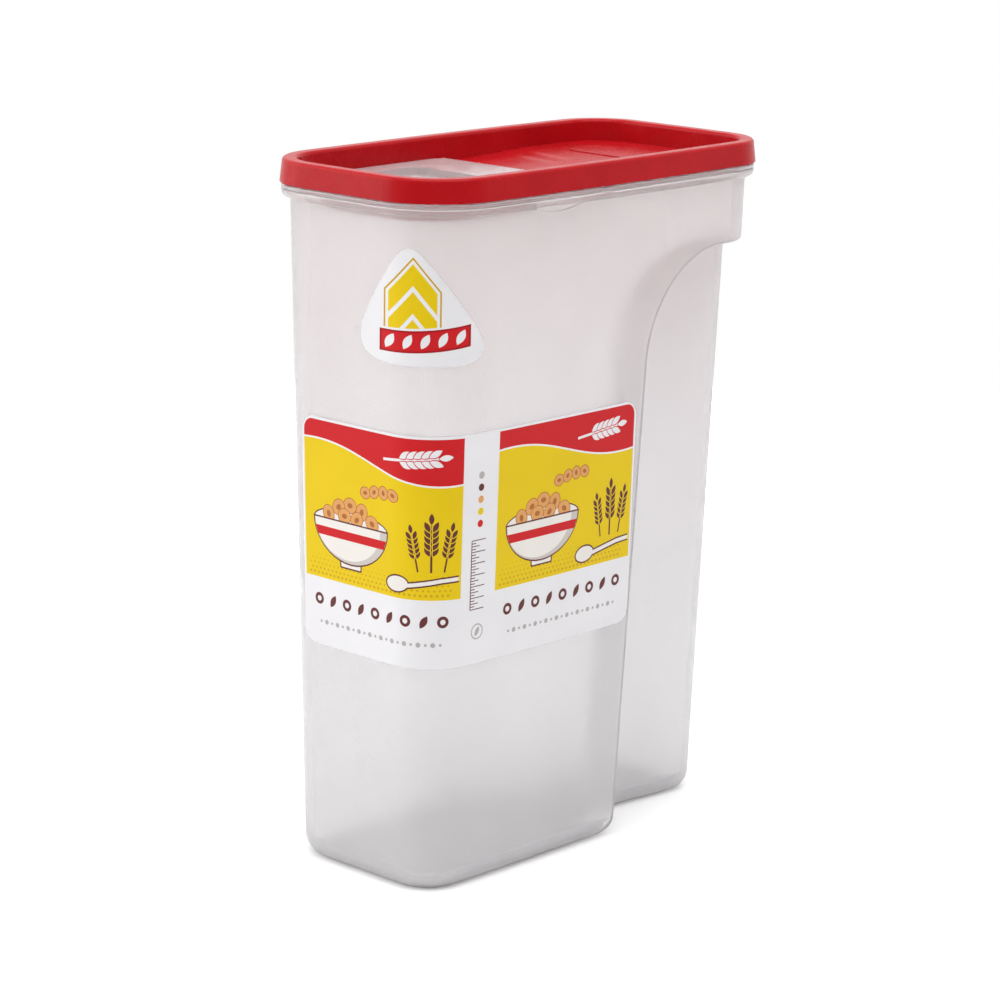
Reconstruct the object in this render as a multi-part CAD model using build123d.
from build123d import *
import os
from math import hypot

# Cereal container with a lift-off lid and a flip cap over its pour opening.
# X runs along the length with the pour end at -X, Y across, Z up.
# The origin is the middle of the base. All sizes are in millimetres.

# Overall
lid_length = 220.0
lid_width = 112.7
height = 307.1

# Plan outline of the lid: a rectangle with bowed sides and round corners
side_bow = 2.5
end_bow = 0.75
pour_corner = 31.7
rear_corner = 27.5

# Lid rim, a hollow channel that covers the mouth of the tub
rim_height = 10.0
rim_lean = 1.15
rim_inset_at_top = 7.5
rim_inset_at_floor = 7.9
rim_round = 1.5
skirt_wall = 1.5
inner_wall = 1.5
rim_top_wall = 1.6
snap_rib_height = 1.2
snap_rib_depth = 0.5
snap_rib_rise = 1.4

# Tub
tub_inset = 4.37
tub_draft = 0.025
tub_wall = 1.6
tub_base = 2.2
base_round = 10.0
foot_trim = 1.0
mouth_gap = 0.3
mouth_bead_height = 2.0
mouth_bead_out = 0.9

# Flange round the tub, just under the lid, with a thumb pad on each long side
flange_gap = 0.6
flange_inset = 0.7
flange_bead_height = 1.9
flange_bead_round = 0.7
flange_ledge_height = 3.8
flange_ledge_round = 2.8
thumb_pad_at_x = -36.5
thumb_pad_length = 27.0
thumb_pad_drop = 1.8
thumb_pad_inset = 1.6
thumb_pad_root = 1.5

# Grip pockets, one on each long side, open at the rear and at the foot
grip_length = 81.0
grip_lean = 0.0425
grip_height = 262.0
grip_arch = 49.0
grip_depth = 17.4
grip_waist = 3.8
grip_waist_from_rear = 60.0
grip_waist_run = 30.0
grip_waist_round = 40.0
grip_inner_round = 5.0
grip_edge_round = 2.0
grip_rear_round = 12.0
grip_rear_overrun = 0.35

# Lid floor: a seat for the cap at the pour end, a stepped ramp and a plateau
floor_drop = 9.7
floor_wall = 1.6
seat_wall = 1.6
cap_seat_gap = 0.3
step_drop = 0.5
step_run = 3.0
step_radius = 139.0
first_step_at_x = 27.5
second_step_at_x = 38.0
badge_length = 26.0
badge_width = 62.0
badge_round = 9.0
badge_rise = 0.4
badge_at_x = 72.0

# Flip cap: a plate with a dish that plugs the pour opening
cap_plate = 1.5
cap_edge_gap = 0.4
cap_edge_round = 0.5
dish_side_margin = 13.5
dish_pour_margin = 9.5
dish_from_hinge = 28.5
dish_pour_round = 20.0
dish_rear_round = 7.0
dish_wall = 1.3
dish_depth = 4.6
dish_floor_round = 2.0
plug_gap = 0.4
spout_wall = 1.5
spout_depth = 6.5
lift_ridge_width = 26.0
lift_ridge_height = 2.4
lift_ridge_thickness = 2.2
lift_ridge_setback = 2.5
lift_ridge_round = 1.0

# Hinge across the middle of the lid
hinge_x = -1.5
barrel_radius = 2.0
barrel_gap = 0.3
trough_wall = 1.4
ear_thickness = 2.15
ear_half_length = 3.0
ear_above_axis = 1.6
ear_below_axis = 3.0
ear_gap = 0.3
trunnion_radius = 1.4
trunnion_reach = 2.7
trunnion_gap = 0.05
trunnion_end_gap = 0.3

# Printed film stuck to the tub: a wrap label and a corner sticker
film = 0.2
label_low = 100.0
label_high = 200.0
label_end_y = 29.0
label_to_grip = 2.3
label_round = 7.0
sticker_low = 229.4
sticker_high = 281.4
sticker_left = 34.0
sticker_right = 25.0
sticker_peak = 12.1
sticker_bulge = 3.0
sticker_corner_round = 8.0
sticker_peak_round = 3.0

# Worked out from the sizes above
lid_bottom = height - rim_height
floor_top = height - floor_drop
seat_top = floor_top - cap_plate - cap_seat_gap
seat_bottom = seat_top - seat_wall
channel_top = height - rim_top_wall
tub_top = channel_top - mouth_gap
flange_top = lid_bottom - flange_gap
flange_ledge_top = flange_top - flange_bead_height
flange_bottom = flange_ledge_top - flange_ledge_height
hinge_z = floor_top - barrel_radius
trough_radius = barrel_radius + barrel_gap
cap_inset = rim_inset_at_floor + cap_edge_gap
ear_outer_y = lid_width / 2 - rim_inset_at_floor
ear_inner_y = ear_outer_y - ear_thickness
barrel_end_y = ear_inner_y - ear_gap
far_out = lid_length
grip_arch_z = grip_height - grip_arch
sliver = 0.5
tiny = 0.01


def bow_radius(half_span, bow):
    """Radius of an arc that bulges by bow over a span."""
    return (half_span**2 + bow**2) / (2 * bow)


def plan(inset):
    """The lid's outline seen from above, drawn in by inset."""
    side_radius = bow_radius(lid_length / 2 - end_bow, side_bow)
    end_radius = bow_radius(lid_width / 2 - side_bow, end_bow)
    side = Circle(side_radius - inset)
    end = Circle(end_radius - inset)
    outline = (
        Pos(0, side_radius - lid_width / 2) * side
        & Pos(0, lid_width / 2 - side_radius) * side
        & Pos(end_radius - lid_length / 2, 0) * end
        & Pos(lid_length / 2 - end_radius, 0) * Rot(0, 0, 180) * end
    )
    corners = outline.vertices().sort_by(Axis.X)
    outline = fillet(corners[:2], pour_corner - inset)
    corners = outline.vertices().sort_by(Axis.X)
    return fillet(corners[-2:], rear_corner - inset)


def between(inset_low, z_low, inset_high, z_high):
    """A solid whose outline goes evenly from one inset to another."""
    low = Pos(0, 0, z_low) * plan(inset_low)
    high = Pos(0, 0, z_high) * plan(inset_high)
    return loft([low, high], ruled=True)


def block(x_low, x_high, y_low, y_high, z_low, z_high):
    """A box given by its limits."""
    middle = Pos((x_low + x_high) / 2, (y_low + y_high) / 2, (z_low + z_high) / 2)
    return middle * Box(x_high - x_low, y_high - y_low, z_high - z_low)


def both_sides(solid):
    return solid + mirror(solid, about=Plane.XZ)


def along_y(sketch_xz):
    """A drawing in X and Z, made into a solid that crosses the whole object."""
    return extrude(Plane.XZ * sketch_xz, amount=far_out, both=True)


# ---------------------------------------------------------------- tub


def tub_inset_at(z):
    return tub_inset + tub_draft * (lid_bottom - z)


def tub_block(z_low, z_high, shrink):
    """The tub's drafted outline between two heights, drawn in by shrink."""
    return between(tub_inset_at(z_low) + shrink, z_low, tub_inset_at(z_high) + shrink, z_high)


def grip_step_at(z):
    """Where the grip pocket's front wall stands at a height."""
    top_x = lid_length / 2 - grip_length
    return top_x - grip_lean * (grip_arch_z - z)


def grip_profile(grow):
    """The pocket seen from the side: a leaning step, an arch and a ledge."""
    radius = grip_arch + grow
    slant = hypot(1, grip_lean)
    arch_x = grip_step_at(grip_arch_z) + grip_arch * slant
    arch_start = (arch_x - radius / slant, grip_arch_z + radius * grip_lean / slant)
    arch_end = (arch_x, grip_arch_z + radius)
    foot = (grip_step_at(-far_out) - grow * slant, -far_out)
    with BuildSketch() as sketch:
        with BuildLine():
            Line(foot, arch_start)
            RadiusArc(arch_start, arch_end, radius)
            Polyline(arch_end, (far_out, arch_end[1]), (far_out, -far_out), foot)
        make_face()
    return sketch.sketch


def grip_section(z, grow):
    """The pocket seen from above: a floor with a waist for the fingers."""
    floor_y = lid_width / 2 - tub_inset_at(z) - grip_depth - grow
    waist_x = lid_length / 2 - grip_waist_from_rear
    bend_x = waist_x + grip_waist_run
    rear_x = lid_length / 2 - tub_inset_at(z) + grip_rear_overrun - grow
    start = (-far_out, floor_y - grip_waist)
    end = (rear_x, 0)
    bends = (grip_waist_round, grip_waist_round, grip_rear_round - grow)
    with BuildSketch(Plane.XY.offset(z)) as sketch:
        with BuildLine():
            FilletPolyline(
                start, (waist_x, start[1]), (bend_x, floor_y), (rear_x, floor_y), end, radius=bends
            )
            Polyline(end, (far_out, 0), (far_out, far_out), (-far_out, far_out), start)
        make_face()
    return sketch.sketch


def on_grip_outline(edge, grow):
    """True for an edge that follows the pocket's side profile."""
    spot = edge @ 0.5
    slant = hypot(1, grip_lean)
    arch_x = grip_step_at(grip_arch_z) + grip_arch * slant
    if spot.X > arch_x:
        miss = spot.Z - (grip_height + grow)
    elif spot.Z > grip_arch_z + grip_arch * grip_lean:
        miss = hypot(spot.X - arch_x, spot.Z - grip_arch_z) - (grip_arch + grow)
    else:
        miss = spot.X - (grip_step_at(spot.Z) - grow * slant)
    return abs(miss) < tiny


def grip_cut(grow):
    """What the pocket takes from the +Y side, grown on every face."""
    floor = loft([grip_section(-base_round, grow), grip_section(height, grow)], ruled=True)
    cut = along_y(grip_profile(grow)) & floor
    inner = [e for e in cut.edges() if on_grip_outline(e, grow) and (e @ 0.5).Y < lid_width / 2]
    return fillet(inner, grip_inner_round + grow)


def tub_form(z_low, z_high, shrink):
    """The tub as a solid block with both pockets and a rounded foot."""
    cut = grip_cut(shrink)
    form = tub_block(z_low, z_high, shrink) - cut - mirror(cut, about=Plane.XZ)
    return fillet(form.edges().group_by(Axis.Z)[0], base_round - shrink)


def mouth_bead():
    """A bead round the outside of the mouth, with a slope under it."""
    low = tub_top - mouth_bead_height
    inset = tub_inset_at(tub_top) - mouth_bead_out
    hidden = mouth_bead_out + sliver
    return between(inset + hidden, low - hidden, inset, low) + between(inset, low, inset, tub_top)


def flange():
    """The ledge under the lid: a thin bead over a taller one with a round underside."""
    bead = between(flange_inset, flange_ledge_top, flange_inset, flange_top)
    bead = fillet(bead.edges().group_by(Axis.Z)[0] + bead.edges().group_by(Axis.Z)[-1], flange_bead_round)
    ledge = between(flange_inset, flange_bottom, flange_inset, flange_ledge_top)
    ledge = fillet(ledge.edges().group_by(Axis.Z)[-1], flange_bead_round)
    ledge = fillet(ledge.edges().group_by(Axis.Z)[0], flange_ledge_round)
    return bead + ledge


def thumb_pads():
    """A crescent under the flange on each long side, for the thumb."""
    radius = bow_radius(thumb_pad_length / 2, thumb_pad_drop)
    z_low = flange_bottom - thumb_pad_drop
    z_high = flange_bottom + thumb_pad_root
    window = Pos(thumb_pad_at_x, z_high) * Rectangle(thumb_pad_length, 2 * (z_high - z_low))
    crescent = Pos(thumb_pad_at_x, z_low + radius) * Circle(radius) & window
    return along_y(crescent) & between(thumb_pad_inset, z_low, thumb_pad_inset, z_high)


def container():
    body = tub_form(-foot_trim, tub_top, 0)
    step = [e for e in body.edges() if on_grip_outline(e, 0) and e.length > sliver]
    mouth_y = lid_width / 2 - tub_inset_at(0)
    outer = [e for e in step if abs((e @ 0.5).Y) > mouth_y and (e @ 0.5).Z > base_round]
    body = fillet(outer, grip_edge_round)
    body &= block(-lid_length, lid_length, -lid_width, lid_width, 0, height)
    body += mouth_bead() + flange() + thumb_pads()
    return body - tub_form(tub_base, tub_top + sliver, tub_wall)


# ---------------------------------------------------------------- lid


def rim_outer_inset_at(z):
    return rim_lean * (z - lid_bottom) / rim_height


def rim_inner_inset_at(z):
    lean = (rim_inset_at_floor - rim_inset_at_top) / floor_drop
    return rim_inset_at_top + lean * (height - z)


def rim_block(inset_at, z_low, z_high, shrink=0):
    return between(inset_at(z_low) + shrink, z_low, inset_at(z_high) + shrink, z_high)


def rim():
    """An upside-down channel that drops over the mouth of the tub."""
    ring = rim_block(rim_outer_inset_at, lid_bottom, height)
    ring -= rim_block(rim_inner_inset_at, lid_bottom, height)
    ring = fillet(ring.edges().group_by(Axis.Z)[-1], rim_round)
    channel = rim_block(rim_outer_inset_at, lid_bottom, channel_top, skirt_wall)
    channel -= rim_block(rim_inner_inset_at, lid_bottom, channel_top, -inner_wall)
    rib_low = lid_bottom + snap_rib_rise
    rib = rim_block(rim_outer_inset_at, rib_low, rib_low + snap_rib_height, skirt_wall)
    rib -= rim_block(rim_outer_inset_at, rib_low, rib_low + snap_rib_height, skirt_wall + snap_rib_depth)
    wall = rim_block(rim_inner_inset_at, seat_bottom, lid_bottom, -inner_wall)
    wall -= rim_block(rim_inner_inset_at, seat_bottom, lid_bottom)
    return ring - channel + rib + wall


def rear_floor_top(shift):
    """Everything under the stepped ramp and the plateau, moved down by shift."""
    axis_x = first_step_at_x + step_radius
    second_radius = axis_x - second_step_at_x
    foot_radius = axis_x - hinge_x
    reach = foot_radius + lid_width
    base_z = seat_bottom - spout_depth
    plateau = floor_top - shift
    profile = [
        (0, base_z),
        (reach, base_z),
        (reach, hinge_z - shift),
        (foot_radius, hinge_z - shift),
        (step_radius, plateau - 2 * step_drop),
        (step_radius - step_run, plateau - step_drop),
        (second_radius, plateau - step_drop),
        (second_radius - step_run, plateau),
        (0, plateau),
    ]
    face = Plane.XZ * make_face(Polyline(profile, close=True))
    return Pos(axis_x, 0) * revolve(face, Axis.Z)


def inside_rim(z_low, z_high, x_low, x_high):
    """The room inside the lid's inner wall, between two stations."""
    room = rim_block(rim_inner_inset_at, z_low, z_high, -sliver)
    return room & block(x_low, x_high, -lid_width, lid_width, z_low, z_high)


def dish_outline(grow):
    """The cap's dish seen from above, with its rounder end at the pour end."""
    x_low = -lid_length / 2 + cap_inset + dish_pour_margin - grow
    x_high = hinge_x - dish_from_hinge + grow
    half_y = lid_width / 2 - cap_inset - dish_side_margin + grow
    outline = Pos((x_low + x_high) / 2, 0) * Rectangle(x_high - x_low, 2 * half_y)
    corners = outline.vertices().sort_by(Axis.X)
    outline = fillet(corners[:2], dish_pour_round + grow)
    corners = outline.vertices().sort_by(Axis.X)
    return fillet(corners[-2:], dish_rear_round + grow)


def dish_block(grow, z_low, z_high):
    return extrude(Pos(0, 0, z_low) * dish_outline(grow), z_high - z_low)


def across(radius, y_low, y_high):
    """A round bar on the hinge axis between two stations across the lid."""
    bar = Cylinder(radius, y_high - y_low, rotation=(90, 0, 0))
    return Pos(hinge_x, (y_low + y_high) / 2, hinge_z) * bar


def lid():
    pour_end = -lid_length
    body = rim()
    ramp = rear_floor_top(0) - rear_floor_top(floor_wall)
    body += ramp & inside_rim(hinge_z - floor_wall, floor_top, hinge_x, lid_length)
    body += inside_rim(seat_bottom, seat_top, pour_end, hinge_x)
    trough = across(trough_radius + trough_wall, -ear_outer_y - sliver, ear_outer_y + sliver)
    body += trough & block(pour_end, lid_length, -lid_width, lid_width, seat_bottom - spout_depth, hinge_z)
    opening = dish_wall + plug_gap
    body += dish_block(opening + spout_wall, seat_bottom - spout_depth, seat_bottom)
    body -= dish_block(opening, seat_bottom - spout_depth, seat_top)
    body -= across(trough_radius, -ear_inner_y, ear_inner_y)
    ear = block(
        hinge_x - ear_half_length,
        hinge_x + ear_half_length,
        ear_inner_y,
        ear_outer_y + sliver,
        hinge_z - ear_below_axis,
        hinge_z + ear_above_axis,
    )
    body += both_sides(ear)
    socket_end = barrel_end_y + trunnion_reach + trunnion_end_gap
    body -= both_sides(across(trunnion_radius + trunnion_gap, ear_inner_y, socket_end))
    badge = Rectangle(badge_length, badge_width)
    badge = Pos(badge_at_x, 0, floor_top) * fillet(badge.vertices(), badge_round)
    return body + extrude(badge, badge_rise)


# ---------------------------------------------------------------- flip cap


def flip_cap():
    underside = floor_top - cap_plate
    body = extrude(Pos(0, 0, underside) * plan(cap_inset), cap_plate)
    body &= block(-lid_length, hinge_x, -lid_width, lid_width, underside, floor_top)
    body = fillet(body.edges().group_by(Axis.Z)[-1], cap_edge_round)
    notch_x = hinge_x - hypot(ear_half_length, ear_above_axis) - ear_gap
    notch = block(notch_x, 0, barrel_end_y, lid_width, underside, floor_top)
    body -= both_sides(notch)
    dish_bottom = floor_top - dish_depth
    body += dish_block(dish_wall, dish_bottom - dish_wall, underside)
    hollow = dish_block(0, dish_bottom, floor_top)
    body -= fillet(hollow.edges().group_by(Axis.Z)[0], dish_floor_round)
    body += across(barrel_radius, -barrel_end_y, barrel_end_y)
    body += both_sides(across(trunnion_radius, barrel_end_y, barrel_end_y + trunnion_reach))
    ridge_x = -lid_length / 2 + cap_inset + lift_ridge_setback
    ridge = block(
        ridge_x,
        ridge_x + lift_ridge_thickness,
        -lift_ridge_width / 2,
        lift_ridge_width / 2,
        floor_top - cap_edge_round,
        floor_top + lift_ridge_height,
    )
    ridge = fillet(ridge.edges().group_by(Axis.Z)[-1], lift_ridge_round)
    return body + ridge


# ---------------------------------------------------------------- printed film


def film_sleeve(z_low, z_high):
    """A thin skin on the tub's walls between two heights."""
    return tub_block(z_low, z_high, -film) - tub_block(z_low, z_high, 0)


def wrap_label():
    """Runs from the pour end round the near corner to the grip pocket."""
    end_x = grip_step_at(label_low) - label_to_grip
    middle_z = (label_low + label_high) / 2
    tall = label_high - label_low
    on_side = Pos(end_x - lid_length, middle_z) * RectangleRounded(2 * lid_length, tall, label_round)
    on_end = Pos(label_end_y - lid_length, middle_z) * RectangleRounded(2 * lid_length, tall, label_round)
    side_cut = along_y(on_side)
    end_cut = extrude(Plane.YZ * on_end, amount=far_out, both=True)
    return film_sleeve(label_low, label_high) & side_cut & end_cut


def arrow_sticker():
    """A rounded triangle on the near corner of the pour end."""
    low_left = (-sticker_left, sticker_low)
    low_right = (sticker_right, sticker_low)
    peak = (-sticker_peak, sticker_high)
    with BuildSketch() as sketch:
        with BuildLine():
            Line(low_left, low_right)
            SagittaArc(low_right, peak, -sticker_bulge)
            SagittaArc(peak, low_left, -sticker_bulge)
        make_face()
        fillet(sketch.vertices().group_by(Axis.Y)[0], sticker_corner_round)
        fillet(sketch.vertices().group_by(Axis.Y)[-1], sticker_peak_round)
    facing = Plane(origin=(0, 0, 0), x_dir=(1, -1, 0), z_dir=(-1, -1, 0))
    corner_x = -lid_length / 2 + pour_corner
    corner_y = -lid_width / 2 + pour_corner
    cut = Pos(corner_x, corner_y, 0) * extrude(facing * sketch.sketch, amount=far_out)
    return film_sleeve(sticker_low, sticker_high) & cut


NODES = {
    "container": container,
    "lid": lid,
    "flip_cap": flip_cap,
    "wrap_label": wrap_label,
    "arrow_sticker": arrow_sticker,
}

os.makedirs("parts", exist_ok=True)
for name, build in NODES.items():
    solid = build()
    export_step(solid, f"parts/{name}.step")
    print(name, round(solid.volume), "mm3", solid.bounding_box())
